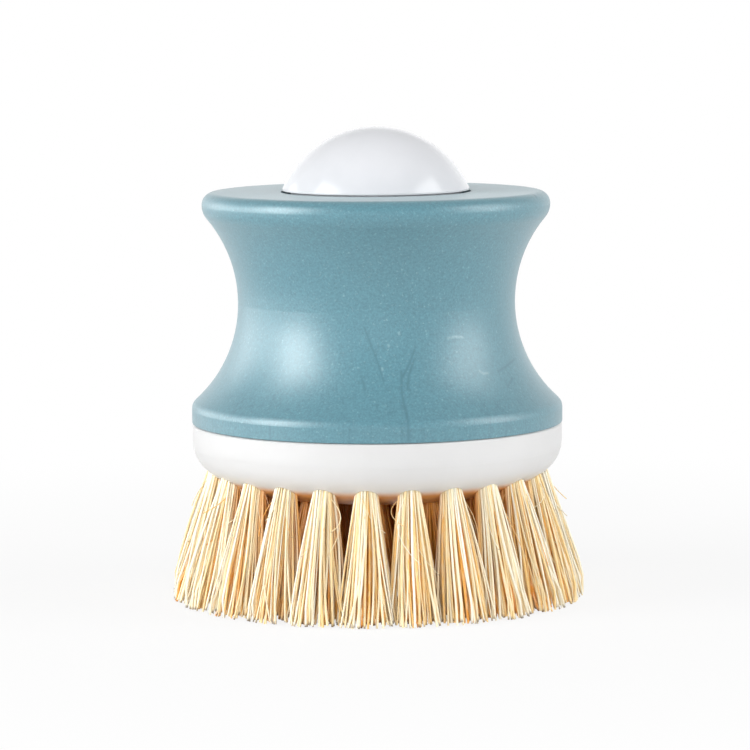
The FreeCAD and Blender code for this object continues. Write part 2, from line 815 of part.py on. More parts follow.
def slit_valve():
    body = new_body("slit_valve")
    flange = boss_bore - s.retainer_fit
    throat = s.outlet_radius - s.valve_fit
    bulge = throat - s.valve_wall
    tip = soap_floor - s.valve_drop
    arc_start = tip + s.valve_drop / 2
    rise = arc_start - tip
    outer_curve = (throat * throat + rise * rise) / (rise * 2)
    inner_curve = (bulge * bulge + rise * rise) / (rise * 2)
    turn(body, "membrane", [
        (0, tip, outer_curve),
        (throat, arc_start),
        (throat, soap_floor),
        (flange, soap_floor),
        (flange, valve_top),
        (bulge, valve_top),
        (bulge, arc_start + s.valve_wall, -inner_curve),
        (0, tip + s.valve_wall),
    ])
    sketch = new_sketch(body, "slit_outline", "XY_Plane")
    half = s.slit_length / 2
    side = s.slit_width / 2
    draw_outline(sketch, [(-half, -side), (half, -side), (half, side), (-half, side)])
    slit = plate(body, "slit", sketch, arc_start * 2, "PartDesign::Pocket")
    pattern(body, "slits", slit, CROSSED, QUARTER_TURN)
    return body


def valve_retainer():
    body = new_body("valve_retainer")
    outer = boss_bore - s.retainer_fit
    turn(body, "retainer", [
        (outer - s.retainer_wall, valve_top + s.face_gap),
        (outer, valve_top + s.face_gap),
        (outer, retainer_top),
        (outer - s.retainer_wall, retainer_top),
    ])
    return body


def anchor_outline(sketch, hole_top, lean, room=0):
    """Flat of the metal strip that a tuft is folded over, with room around it, near the top of its hole."""
    half = s.hole_radius - s.tuft_fit + room
    top = along_tuft(hole_top, lean) - s.anchor_cover + room
    bottom = along_tuft(hole_top, lean) - s.anchor_cover - s.anchor_height - room
    draw_outline(sketch, [(-half, bottom), (half, bottom), (half, top), (-half, top)])


def face_front(piece, share=0):
    """Turns a piece drawn towards +X to the front of the brush, and a share of a turn further."""
    piece.Placement = FreeCAD.Placement(Vector(0, 0, 0), FreeCAD.Rotation(Vector(0, 0, 1), 1))
    bind(piece, "Placement.Rotation.Angle", s.tuft_phase - QUARTER_TURN + FULL_TURN * share)
    return piece


def tuft_anchors():
    """Metal strips of all tufts, one group."""
    strips = []
    for ring, (count, radius, lean, _, hole_top) in RINGS.items():
        body = new_body(f"{ring}_anchors")
        sketch = tuft_sketch(body, f"{ring}_anchor_outline", radius, lean)
        anchor_outline(sketch, hole_top, lean)
        strip = plate(body, f"{ring}_anchor", sketch, s.anchor_thickness)
        pattern(body, f"{ring}_anchor_ring", strip, count)
        strips.append(body)
    group = doc.addObject("Part::Compound", "tuft_anchors")
    group.Label = "tuft_anchors"
    group.Links = strips
    return face_front(group)


def tuft_of(ring):
    """One tuft of a ring: straight in its hole, fanning out below the sole, trimmed flat at the tips."""
    _, radius, lean, tip, hole_top = RINGS[ring]
    body = new_body(f"{ring}_tuft")
    sketch = tuft_sketch(body, f"{ring}_tuft_outline", radius, lean)
    mouth = along_tuft(sole, lean)
    trim = s.trim_depth / cosine(lean)
    fan = (tip - tuft_radius) / (mouth - trim)
    draw_outline(sketch, [
        (0, 0),
        (tip + fan * trim, 0),
        (tuft_radius, mouth),
        (tuft_radius, along_tuft(hole_top, lean) - s.tuft_fit),
        (0, along_tuft(hole_top, lean) - s.tuft_fit),
    ])
    fibres = body.newObject("PartDesign::Revolution", f"{ring}_fibres")
    fibres.Profile = sketch
    fibres.ReferenceAxis = (sketch, ["V_Axis"])
    fibres.Angle = FULL_TURN
    doc.recompute()
    trim_sketch = new_sketch(body, f"{ring}_trim_outline", "XY_Plane")
    near = radius - tip * 4
    far = radius + tip * 4
    draw_outline(trim_sketch, [(near, -tip * 4), (far, -tip * 4), (far, tip * 4), (near, tip * 4)])
    whole = body.Shape.Volume
    trimmed = body.newObject("PartDesign::Pocket", f"{ring}_trim")
    trimmed.Profile = trim_sketch
    trimmed.Type = "ThroughAll"
    doc.recompute()
    if not 0.3 * whole < body.Shape.Volume < 0.95 * whole:
        raise RuntimeError(f"{ring} tuft: the trim left {body.Shape.Volume / whole:.2f} of it")
    slot_sketch = tuft_sketch(body, f"{ring}_slot_outline", radius, lean)
    anchor_outline(slot_sketch, hole_top, lean, s.tuft_fit)
    plate(body, f"{ring}_slot", slot_sketch, s.anchor_thickness + s.tuft_fit * 2, "PartDesign::Pocket")
    return body


def tufts():
    """Every tuft as a piece of its own: copies of its ring's tuft, turned about the brush axis."""
    pieces = []
    for ring, (count, *_) in RINGS.items():
        master = tuft_of(ring)
        number = round(count.value)
        for index in range(number):
            copy = doc.addObject("Part::Compound", f"{ring}_tuft_{index + 1:02d}")
            copy.Label = f"{ring}_tuft_{index + 1:02d}"
            copy.Links = [master]
            pieces.append(face_front(copy, index / number))
    return pieces


subparts = [
    handle_shell(),
    soap_tank(),
    pump_barrel(),
    barrel_washer(),
    gland_cap(),
    rod_seal(),
    return_spring(),
    button_dome(),
    plunger_rod(),
    piston_cup(),
    head_gasket(),
    brush_block(),
    tuft_plate(),
    slit_valve(),
    valve_retainer(),
    tuft_anchors(),
    *tufts(),
]
doc.recompute()

for thing in doc.Objects:
    if "Invalid" in thing.State or "Error" in thing.State:
        raise RuntimeError(f"{thing.Label} failed: {thing.State}")
for piece in subparts:
    if piece.Shape.isNull() or not piece.Shape.isValid():
        raise RuntimeError(f"{piece.Label} has no valid shape")

os.makedirs("parts", exist_ok=True)
for piece in subparts:
    piece.Shape.exportStep(f"parts/{piece.Label}.step")
print(f"{len(subparts)} sub-parts written")
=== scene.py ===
import math
import bpy
from mathutils import Euler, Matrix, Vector


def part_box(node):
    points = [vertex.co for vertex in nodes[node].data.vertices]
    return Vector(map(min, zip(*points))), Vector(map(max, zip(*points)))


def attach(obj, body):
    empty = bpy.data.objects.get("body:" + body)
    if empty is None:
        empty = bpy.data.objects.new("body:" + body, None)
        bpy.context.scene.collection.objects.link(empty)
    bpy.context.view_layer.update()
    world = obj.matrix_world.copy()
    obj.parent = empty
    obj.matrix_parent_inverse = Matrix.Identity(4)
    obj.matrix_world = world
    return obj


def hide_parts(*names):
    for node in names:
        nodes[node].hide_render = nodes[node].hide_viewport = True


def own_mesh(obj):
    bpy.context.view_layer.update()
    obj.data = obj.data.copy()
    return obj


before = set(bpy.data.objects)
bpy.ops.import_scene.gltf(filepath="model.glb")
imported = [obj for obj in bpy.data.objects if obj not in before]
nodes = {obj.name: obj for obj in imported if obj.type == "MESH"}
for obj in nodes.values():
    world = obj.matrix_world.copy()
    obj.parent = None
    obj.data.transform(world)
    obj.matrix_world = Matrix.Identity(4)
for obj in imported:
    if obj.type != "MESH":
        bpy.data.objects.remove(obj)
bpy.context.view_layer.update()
mm = 0.001
print("frame loaded:", len(nodes), "CAD nodes")


def linear(hexColour):
    # sRGB hex to the linear values that the shaders take
    parts = [int(hexColour[i:i + 2], 16) / 255 for i in (1, 3, 5)]
    return tuple(p / 12.92 if p <= 0.04045 else ((p + 0.055) / 1.055) ** 2.4 for p in parts) + (1.0,)


def add(tree, kind, links=None, **settings):
    # adds one node, sets its properties, and links or sets its inputs by name or number
    made = tree.nodes.new(kind)
    for name, value in settings.items():
        setattr(made, name, value)
    for socket, value in (links or {}).items():
        if isinstance(value, bpy.types.NodeSocket):
            tree.links.new(value, made.inputs[socket])
        else:
            made.inputs[socket].default_value = value
    return made


def calc(tree, operation, *values, **settings):
    # one sum on numbers
    return add(tree, "ShaderNodeMath", dict(enumerate(values)), operation=operation, **settings).outputs[0]


def calcVector(tree, operation, *values, **scale):
    # one sum on vectors, with Scale as a named input
    made = add(tree, "ShaderNodeVectorMath", {**dict(enumerate(values)), **scale}, operation=operation)
    return made.outputs["Value" if operation in ("LENGTH", "DISTANCE", "DOT_PRODUCT") else "Vector"]


def remap(tree, value, fromSpan=(0.0, 1.0), toSpan=(0.0, 1.0), smooth=False):
    # carries a number from one span to another, and holds it at the ends
    made = add(tree, "ShaderNodeMapRange", {"Value": value, "From Min": fromSpan[0], "From Max": fromSpan[1],
               "To Min": toSpan[0], "To Max": toSpan[1]}, interpolation_type="SMOOTHSTEP" if smooth else "LINEAR")
    return made.outputs[0]


def combine(tree, **parts):
    return add(tree, "ShaderNodeCombineXYZ", parts).outputs[0]


def separate(tree, vector):
    return add(tree, "ShaderNodeSeparateXYZ", {0: vector}).outputs


def blend(tree, share, first, second):
    return add(tree, "ShaderNodeMix", {0: share, 6: first, 7: second}, data_type="RGBA").outputs[2]


def noise(tree, place, size, **inputs):
    return add(tree, "ShaderNodeTexNoise", {"Vector": place, "Scale": 1 / size, **inputs}).outputs[0]


def stretch(tree, place, sizes, turn=0.0):
    # coordinates for a pattern of size 1.0 that is longer one way than another; sizes along X, Y and Z
    return add(tree, "ShaderNodeMapping", {"Vector": place, "Rotation": (0, 0, turn),
               "Scale": [1 / size for size in sizes]}).outputs[0]


def bump(tree, height, strength, distance, **below):
    # below: the Normal of the bump that this one lies on
    made = add(tree, "ShaderNodeBump", {"Height": height, "Strength": strength, "Distance": distance, **below})
    return made.outputs[0]


def newMaterial(name):
    # an empty material, its tree, and the coordinates of the object it is on
    material = bpy.data.materials.new(name)
    material.use_nodes = True
    material.node_tree.nodes.clear()
    return material, material.node_tree, add(material.node_tree, "ShaderNodeTexCoord").outputs["Object"]


def principled(tree, inputs):
    surface = add(tree, "ShaderNodeBsdfPrincipled", inputs)
    add(tree, "ShaderNodeOutputMaterial", {"Surface": surface.outputs[0]})


def showingRays(tree):
    # 1 for the camera's rays, and 1 for those and the mirrored ones; the rest only light the object
    path = add(tree, "ShaderNodeLightPath").outputs
    mirrored = calc(tree, "MAXIMUM", path["Is Glossy Ray"], path["Is Transmission Ray"])
    return path["Is Camera Ray"], calc(tree, "MAXIMUM", path["Is Camera Ray"], mirrored)


# Camera: low and far, so that the deck shows as a thin ellipse and the tips as a rounder one
cameraLook = {"distance": 689.2 * mm, "height": 118.7 * mm, "aside": -0.38 * mm, "pitchDown": 6.343, "roll": -0.37,
              "lens": 174.8, "sensor": 36.0, "clipStart": 10 * mm}
cameraData = bpy.data.cameras.new("studioCamera")
cameraData.lens = cameraLook["lens"]
cameraData.sensor_fit = "HORIZONTAL"
cameraData.sensor_width = cameraLook["sensor"]
cameraData.clip_start = cameraLook["clipStart"]
camera = bpy.data.objects.new("studioCamera", cameraData)
camera.location = (cameraLook["aside"], -cameraLook["distance"], cameraLook["height"])
camera.rotation_mode = "ZYX"  # the roll comes first, about the view axis
camera.rotation_euler = Euler((math.radians(90 - cameraLook["pitchDown"]), 0, math.radians(cameraLook["roll"])), "ZYX")
bpy.context.scene.collection.objects.link(camera)
bpy.context.scene.camera = camera
bpy.context.scene.view_settings.view_transform = "Standard"

# Light: one soft box on each side, a wide panel behind the camera, an even white room, and three white cards,
# by the key, left and behind, that show only in the gloss of the plastics
lightLook = {
    "keyBox": {"azimuth": -68, "elevation": 24, "distance": 0.75, "size": (0.42, 0.55), "watts": 4.0,
               "lights": True, "mirrored": True},
    "fillBox": {"azimuth": 78, "elevation": 24, "distance": 0.8, "size": (0.46, 0.6), "watts": 3.3,
                "lights": True, "mirrored": True},
    "frontPanel": {"azimuth": 0, "elevation": 12, "distance": 1.0, "size": (0.5, 0.3), "watts": 3.4,
                   "lights": True, "mirrored": False},
    "keyCard": {"azimuth": -68, "elevation": 22, "distance": 0.74, "size": (0.3, 0.4), "watts": 1.5,
                "lights": False, "mirrored": True},
    "leftCard": {"azimuth": -112, "elevation": 4, "distance": 0.9, "size": (0.8, 0.6), "watts": 4.6,
                 "lights": False, "mirrored": True},
    "backCard": {"azimuth": 180, "elevation": 10, "distance": 1.2, "size": (1.8, 0.6), "watts": 1.0,
                 "lights": False, "mirrored": True},
}
aim = Vector((0, 0, 45 * mm))
for name, look in lightLook.items():
    lamp = bpy.data.lights.new(name, "AREA")
    lamp.shape = "RECTANGLE"
    lamp.size, lamp.size_y = look["size"]
    lamp.energy = look["watts"]
    turn, rise = math.radians(look["azimuth"]), math.radians(look["elevation"])
    direction = Vector((math.sin(turn) * math.cos(rise), -math.cos(turn) * math.cos(rise), math.sin(rise)))
    box = bpy.data.objects.new(name, lamp)
    box.location = aim + direction * look["distance"]
    box.rotation_euler = direction.to_track_quat("Z", "Y").to_euler()
    box.visible_diffuse = look["lights"]
    box.visible_glossy = look["mirrored"]
    bpy.context.scene.collection.objects.link(box)

# the ceiling is dim where the plastics mirror it, and the walls are white
roomLook = {"light": 0.30, "walls": 1.0, "ceiling": 0.5, "ceilingSpan": (0.2, 0.75)}
world = bpy.data.worlds.new("whiteRoom")
bpy.context.scene.world = world
world.use_nodes = True
tree = world.node_tree
tree.nodes.clear()
toCamera, showing = showingRays(tree)
upwards = separate(tree, add(tree, "ShaderNodeTexCoord").outputs["Generated"])["Z"]
ceiling = remap(tree, upwards, roomLook["ceilingSpan"], (roomLook["walls"], roomLook["ceiling"]), smooth=True)
shown = add(tree, "ShaderNodeMix", {0: toCamera, 2: ceiling, 3: roomLook["walls"]})
strength = add(tree, "ShaderNodeMix", {0: showing, 2: roomLook["light"], 3: shown.outputs[0]})
room = add(tree, "ShaderNodeBackground", {"Color": linear("#FFFFFF"), "Strength": strength.outputs[0]})
add(tree, "ShaderNodeOutputWorld", {"Surface": room.outputs[0]})
print("camera and lights set")

# Floor: a white sheet that fades into the white room, and keeps a faint shadow near the brush
floorLook = {"size": 6.0, "paper": "#F4F4F4", "shadowShare": 0.14, "fade": (60 * mm, 220 * mm)}
half = floorLook["size"] / 2
floorMesh = bpy.data.meshes.new("floorSheet")
floorMesh.from_pydata([(-half, -half, 0), (half, -half, 0), (half, half, 0), (-half, half, 0)], [], [(0, 1, 2, 3)])
floor = bpy.data.objects.new("floorSheet", floorMesh)
bpy.context.scene.collection.objects.link(floor)
paper, tree, place = newMaterial("paperBackdropMatt")
away = calcVector(tree, "LENGTH", place)
fade = remap(tree, away, floorLook["fade"], (1 - floorLook["shadowShare"], 1.0), smooth=True)
toCamera, showing = showingRays(tree)
sheet = add(tree, "ShaderNodeBsdfDiffuse", {"Color": linear(floorLook["paper"])})
white = add(tree, "ShaderNodeEmission", {"Color": linear("#FFFFFF"), "Strength": 1.0})
mixed = add(tree, "ShaderNodeMixShader", {0: calc(tree, "MULTIPLY", fade, showing), 1: sheet.outputs[0],
            2: white.outputs[0]})
add(tree, "ShaderNodeOutputMaterial", {"Surface": mixed.outputs[0]})
floorMesh.materials.append(paper)


def markMask(tree, place, runs, halfWidth):
    # 1 along lines drawn on a surface and 0 away from them; place and the points of the runs are in metres
    nearest = None
    for run in runs:
        for start, end in zip(run, run[1:]):
            along = end - start
            offset = calcVector(tree, "SUBTRACT", place, start)
            share = calcVector(tree, "DOT_PRODUCT", offset, along / along.length_squared)
            held = calc(tree, "ADD", share, 0.0, use_clamp=True)
            foot = calcVector(tree, "SCALE", along, Scale=held)
            apart = calcVector(tree, "DISTANCE", offset, foot)
            nearest = apart if nearest is None else calc(tree, "MINIMUM", nearest, apart)
    return remap(tree, nearest, (halfWidth, 0.0), smooth=True)


# Blue polypropylene, injection moulded with a satin tool finish: soft wide highlights broken by a fine grain, pale
# specks of filler, a weld line where the melt met low on the front, and the scratches and nicks of use
blueLook = {"body": "#508391", "cloud": "#588A97", "cloudSize": 14 * mm,
            "speck": "#8FB4BE", "speckSize": 0.45 * mm, "speckSpan": (0.62, 0.76), "speckShare": 0.5,
            "grain": 0.4 * mm, "grainSpan": (0.25, 0.75), "grainShare": 0.27,
            "flow": "#3F6C79", "flowWidth": 0.8 * mm, "flowLength": 16 * mm, "flowSpan": (0.54, 0.72), "flowShare": 0.4,
            "flowHeights": (54 * mm, 40 * mm), "flowAbove": 0.15,
            "roughness": (0.35, 0.43), "peel": 1.1 * mm, "bump": 0.5, "bumpDepth": 0.03 * mm, "scratchDepth": 0.05 * mm,
            "sheen": 0.25, "sheenRoughness": 0.5}
# marks of the handle: runs of points, each the turn from the front in degrees and the height in mm
blueMarks = {
    "weldLine": {"colour": "#33606D", "share": 0.5, "halfWidth": 0.46 * mm, "runs": [
        [(9.0, 45.8), (8.4, 42.0), (9.1, 38.8), (9.2, 34.0)], [(14.6, 49.5), (11.9, 46.9), (8.9, 44.6)],
        [(14.1, 47.8), (11.5, 45.0), (10.6, 42.8)]]},
    "scratches": {"colour": "#33606D", "share": 0.42, "halfWidth": 0.40 * mm, "runs": [
        [(-4.9, 53.7), (-0.2, 48.2), (2.4, 44.2)], [(-5.7, 45.1), (-4.1, 42.8)], [(50.2, 44.7), (64.4, 46.2)],
        [(52.1, 43.0), (51.9, 41.9), (56.8, 43.1)], [(44.5, 48.8), (44.7, 48.8)], [(-43.7, 73.8), (-43.5, 73.8)],
        [(68.4, 77.1), (67.1, 76.4)]]},
    "nicks": {"colour": "#B4CFD6", "share": 0.3, "halfWidth": 0.42 * mm, "runs": [
        [(40.9, 45.1), (42.3, 44.6), (44.6, 44.6)], [(29.3, 51.4), (32.4, 51.6), (36.2, 51.4)],
        [(1.9, 46.4), (2.0, 46.2)], [(4.5, 50.5), (4.6, 50.3)], [(8.8, 52.7), (8.9, 52.5)],
        [(70.2, 77.1), (70.8, 76.9)]]},
}
# where they lie, and how the grain breaks them up
markPlace = {"meanRadius": 30 * mm, "deckHeights": (76.8 * mm, 76.9 * mm), "outsideRadii": (25.0 * mm, 31.0 * mm),
             "brokenSpan": (0.35, 0.6), "brokenShares": (0.45, 1.1)}
bluePolypropylene, tree, place = newMaterial("bluePolypropyleneSatinMoulded")
cloud = noise(tree, place, blueLook["cloudSize"], Detail=4.0, Roughness=0.6)
colour = blend(tree, cloud, linear(blueLook["body"]), linear(blueLook["cloud"]))
speck = noise(tree, place, blueLook["speckSize"], Detail=2.0)
speckMask = remap(tree, speck, blueLook["speckSpan"], (0.0, blueLook["speckShare"]))
colour = blend(tree, speckMask, colour, linear(blueLook["speck"]))
# the real grain is finer than a tenth of a millimetre, and is drawn coarser here so that it shows
grain = noise(tree, place, blueLook["grain"], Detail=3.0, Roughness=0.7)
grainValue = remap(tree, grain, blueLook["grainSpan"], (1 - blueLook["grainShare"], 1 + blueLook["grainShare"]))
colour = add(tree, "ShaderNodeHueSaturation", {"Value": grainValue, "Color": colour}).outputs[0]
# flow lines run down the flare, so the pattern is stretched along the height of the handle
flowPlace = stretch(tree, place, (blueLook["flowWidth"], blueLook["flowWidth"], blueLook["flowLength"]))
flow = noise(tree, flowPlace, 1.0, Detail=3.0, Distortion=0.4)
flowMask = remap(tree, flow, blueLook["flowSpan"], (0.0, blueLook["flowShare"]))
placed = separate(tree, place)
low = remap(tree, placed["Z"], blueLook["flowHeights"], (blueLook["flowAbove"], 1.0), smooth=True)
colour = blend(tree, calc(tree, "MULTIPLY", flowMask, low), colour, linear(blueLook["flow"]))
# the marks lie on the unrolled handle: the turn from the front times the mean radius, and the height
turnFromFront = calc(tree, "ARCTAN2", placed["X"], calc(tree, "MULTIPLY", placed["Y"], -1.0))
unrolled = calc(tree, "MULTIPLY", turnFromFront, markPlace["meanRadius"])
# and they stop at the rim: how far a point lies inside it, on the deck or in the well, counts as distance too
fromAxis = calcVector(tree, "LENGTH", calcVector(tree, "MULTIPLY", place, (1, 1, 0)))
outside = remap(tree, placed["Z"], markPlace["deckHeights"], markPlace["outsideRadii"])
inwards = calc(tree, "SUBTRACT", outside, fromAxis, use_clamp=True)
onHandle = combine(tree, X=unrolled, Y=placed["Z"], Z=inwards)
masks = {}
for kind, marks in blueMarks.items():
    runs = [[Vector((math.radians(turn) * markPlace["meanRadius"], height * mm, 0)) for turn, height in run]
            for run in marks["runs"]]
    masks[kind] = markMask(tree, onHandle, runs, marks["halfWidth"])
    brokenShares = [share * marks["share"] for share in markPlace["brokenShares"]]
    broken = remap(tree, grain, markPlace["brokenSpan"], brokenShares)
    colour = blend(tree, calc(tree, "MULTIPLY", masks[kind], broken), colour, linear(marks["colour"]))
peel = noise(tree, place, blueLook["peel"], Detail=3.0)
relief = bump(tree, peel, blueLook["bump"], blueLook["bumpDepth"])
relief = bump(tree, grain, blueLook["bump"], blueLook["bumpDepth"], Normal=relief)
relief = bump(tree, calc(tree, "MULTIPLY", masks["scratches"], -1.0), blueLook["bump"], blueLook["scratchDepth"],
              Normal=relief)
principled(tree, {"Base Color": colour, "Roughness": remap(tree, cloud, toSpan=blueLook["roughness"]), "IOR": 1.49,
                  "Specular IOR Level": 1.0, "Sheen Weight": blueLook["sheen"],
                  "Sheen Roughness": blueLook["sheenRoughness"], "Normal": relief})

# White ABS, moulded in a polished tool: a clear reflection with a barely wavy surface and fine wipe marks
domeLook = {"body": "#E4E5E9", "shade": "#DEE0E4", "roughness": (0.14, 0.22), "wave": 5 * mm, "waveBump": 0.25,
            "waveDepth": 0.06 * mm, "wipe": 0.3 * mm, "wipeLength": 100 / 9 * mm, "wipeTurn": 0.6,
            "wipeSpan": (0.3, 0.7)}
whiteAbs, tree, place = newMaterial("whiteAbsPolishedMoulded")
wave = noise(tree, place, domeLook["wave"], Detail=3.0)
colour = blend(tree, wave, linear(domeLook["body"]), linear(domeLook["shade"]))
wipeSizes = (domeLook["wipe"], domeLook["wipeLength"], domeLook["wipeLength"])
wipePlace = stretch(tree, place, wipeSizes, domeLook["wipeTurn"])
wipe = noise(tree, wipePlace, 1.0, Detail=2.0)
principled(tree, {"Base Color": colour, "Roughness": remap(tree, wipe, domeLook["wipeSpan"], domeLook["roughness"]),
                  "IOR": 1.53, "Normal": bump(tree, wave, domeLook["waveBump"], domeLook["waveDepth"])})

# White polypropylene, moulded: waxy, a little see-through at the edges, with a very fine peel; its sole is
# tinted tan, a painted shade for the warm light that the fibres throw on it
blockLook = {"body": "#DFDFDF", "shade": "#DADADA", "cloudSize": 9 * mm, "sole": "#EBA864",
             "soleHeights": (24.3 * mm, 22.7 * mm), "roughness": (0.30, 0.40), "peel": 1.4 * mm, "peelBump": 0.35,
             "peelDepth": 0.02 * mm, "subsurface": 0.08, "subsurfaceDepth": 1.2 * mm}
whitePolypropylene, tree, place = newMaterial("whitePolypropyleneMoulded")
cloud = noise(tree, place, blockLook["cloudSize"], Detail=3.0)
colour = blend(tree, cloud, linear(blockLook["body"]), linear(blockLook["shade"]))
# painted shade: tan towards the sole, for the warm light bounced up from the fibres
paintedBounce = remap(tree, separate(tree, place)["Z"], blockLook["soleHeights"], smooth=True)
colour = blend(tree, paintedBounce, colour, linear(blockLook["sole"]))
peel = noise(tree, place, blockLook["peel"], Detail=2.0)
principled(tree, {"Base Color": colour, "Roughness": remap(tree, peel, toSpan=blockLook["roughness"]), "IOR": 1.49,
                  "Subsurface Weight": blockLook["subsurface"], "Subsurface Radius": (1.0, 0.95, 0.9),
                  "Subsurface Scale": blockLook["subsurfaceDepth"],
                  "Normal": bump(tree, peel, blockLook["peelBump"], blockLook["peelDepth"])})

# Plain pieces inside: each gets its own colour, gloss and the faint unevenness of its making
insideLooks = {
    "naturalPolypropyleneMoulded": {"colours": ("#E4EAE8", "#D5DEDC"), "roughness": (0.34, 0.48), "grain": 3.0 * mm,
                                    "bumpDepth": 0.03 * mm, "ior": 1.49, "subsurface": 0.25},
    "siliconeMoulded": {"colours": ("#D3DDE2", "#C3CFD6"), "roughness": (0.48, 0.62), "grain": 1.5 * mm,
                        "bumpDepth": 0.02 * mm, "ior": 1.41, "subsurface": 0.3},
    "whiteAcetalMoulded": {"colours": ("#F1F0EA", "#E8E7E0"), "roughness": (0.24, 0.34), "grain": 2.0 * mm,
                           "bumpDepth": 0.015 * mm, "ior": 1.48, "subsurface": 0.05},
    "blackNitrileRubberMoulded": {"colours": ("#1C1C1D", "#2A2A2B"), "roughness": (0.52, 0.70), "grain": 0.6 * mm,
                                  "bumpDepth": 0.02 * mm, "ior": 1.52, "subsurface": 0.0},
}
insideShared = {"bump": 0.4, "subsurfaceDepth": 1.0 * mm}
insideMaterials = {}
for name, look in insideLooks.items():
    insideMaterials[name], tree, place = newMaterial(name)
    grain = noise(tree, place, look["grain"], Detail=4.0)
    principled(tree, {"Base Color": blend(tree, grain, *[linear(shade) for shade in look["colours"]]),
                      "Roughness": remap(tree, grain, toSpan=look["roughness"]), "IOR": look["ior"],
                      "Subsurface Weight": look["subsurface"], "Subsurface Scale": insideShared["subsurfaceDepth"],
                      "Normal": bump(tree, grain, insideShared["bump"], look["bumpDepth"])})

# Spring steel, drawn wire: bright metal with fine marks of the die along it
steelLook = {"metal": "#BFC2C6", "dark": "#A3A7AC", "roughness": (0.22, 0.36), "dieMark": 0.12 * mm, "bump": 0.3,
             "bumpDepth": 0.01 * mm}
springSteel, tree, place = newMaterial("springSteelDrawn")
dieMark = noise(tree, place, steelLook["dieMark"], Detail=2.0)
principled(tree, {"Base Color": blend(tree, dieMark, linear(steelLook["metal"]), linear(steelLook["dark"])),
                  "Roughness": remap(tree, dieMark, toSpan=steelLook["roughness"]), "Metallic": 1.0,
                  "Normal": bump(tree, dieMark, steelLook["bump"], steelLook["bumpDepth"])})

finishes = {
    "handle_shell": bluePolypropylene,
    "button_dome": whiteAbs,
    "brush_block": whitePolypropylene,
    "tuft_plate": whitePolypropylene,
    "tuft_anchors": springSteel,
    "soap_tank": insideMaterials["naturalPolypropyleneMoulded"],
    "pump_barrel": insideMaterials["naturalPolypropyleneMoulded"],
    "barrel_washer": insideMaterials["siliconeMoulded"],
    "piston_cup": insideMaterials["siliconeMoulded"],
    "head_gasket": insideMaterials["siliconeMoulded"],
    "slit_valve": insideMaterials["siliconeMoulded"],
    "gland_cap": insideMaterials["whiteAcetalMoulded"],
    "plunger_rod": insideMaterials["whiteAcetalMoulded"],
    "valve_retainer": insideMaterials["whiteAcetalMoulded"],
    "rod_seal": insideMaterials["blackNitrileRubberMoulded"],
}
for name, material in finishes.items():
    nodes[name].data.materials.clear()
    nodes[name].data.materials.append(material)
print("finishes put on", len(finishes), "CAD nodes")

# Plant fibre, split and dried: each strand has its own shade of straw, from cream to brown gold, paler
# streaks along it, a waxy sheen, and a dark end where it was cut; painted shade makes the fibres deep in a tuft,
# the side of a tuft facing the middle, and the rings inside darker and more amber
fibreLook = {"shades": [(0.0, "#FFA42E"), (0.25, "#FFC05A"), (0.45, "#FFDA92"), (0.6, "#FFEABA"), (0.78, "#FFF5D8"),
                        (1.0, "#FFFCEE")],
             # painted shade: how much paler the outer fibres of a tuft are drawn than the deep ones
             "depthShadeSpan": (0.45, 0.95), "depthShadeShare": 0.45,
             "streak": "#FFF8E2", "streakWidth": 0.5 * mm, "streakLength": 9 * mm, "streakSpan": (0.45, 0.75),
             "streakShare": 0.55,
             # painted shade: the amber drawn on the side of a tuft facing the middle, near its root, and on the inner
             # rings
             "root": "#F2A022", "rootSide": (0.35, -0.6), "rootAlong": (0.92, 0.4), "rootShare": 0.8,
             "cutEnd": "#4A2A10", "cutAlong": (0.975, 0.998), "cutPick": 7.31, "cutSpan": (0.35, 0.75),
             "cutShare": 0.85,
             "roughness": (0.32, 0.46), "wax": 1.0}
plantFibre, tree, place = newMaterial("plantFibreDried")
shade = add(tree, "ShaderNodeAttribute", attribute_name="fibreShade").outputs["Fac"]
along = add(tree, "ShaderNodeAttribute", attribute_name="alongFibre").outputs["Fac"]
inTuft = add(tree, "ShaderNodeAttribute", attribute_name="inTuft").outputs["Vector"]
ringPaintedShade = add(tree, "ShaderNodeAttribute", attribute_name="ringPaintedShade").outputs["Fac"]
# painted shade: fibres deep in a tuft are drawn darker gold and those at its outside paler, for the shadow inside the
# tuft
depthShading = remap(tree, calcVector(tree, "LENGTH", inTuft), fibreLook["depthShadeSpan"], (0.0, fibreLook["depthShadeShare"]),
                 smooth=True)
paleness = calc(tree, "MULTIPLY_ADD", shade, 1 - fibreLook["depthShadeShare"], depthShading)
ramp = add(tree, "ShaderNodeValToRGB", {0: paleness})
stops = ramp.color_ramp.elements
while len(stops) < len(fibreLook["shades"]):
    stops.new(1.0)
for stop, (share, hexColour) in zip(stops, fibreLook["shades"]):
    stop.position = share
    stop.color = linear(hexColour)
streakPlace = stretch(tree, place, (fibreLook["streakWidth"], fibreLook["streakWidth"], fibreLook["streakLength"]))
streak = noise(tree, streakPlace, 1.0, Detail=3.0)
streakMask = remap(tree, streak, fibreLook["streakSpan"], (0.0, fibreLook["streakShare"]))
colour = blend(tree, streakMask, ramp.outputs[0], linear(fibreLook["streak"]))
# painted shade: the side of a tuft that faces the middle is drawn amber near its root, and the rings inside are amber
# along their whole length, for the shade deep under the brush
inner = remap(tree, separate(tree, inTuft)["X"], fibreLook["rootSide"], smooth=True)
nearRoot = remap(tree, along, fibreLook["rootAlong"], (0.0, fibreLook["rootShare"]), smooth=True)
paintedAmber = calc(tree, "MAXIMUM", calc(tree, "MULTIPLY", inner, nearRoot), ringPaintedShade)
colour = blend(tree, paintedAmber, colour, linear(fibreLook["root"]))
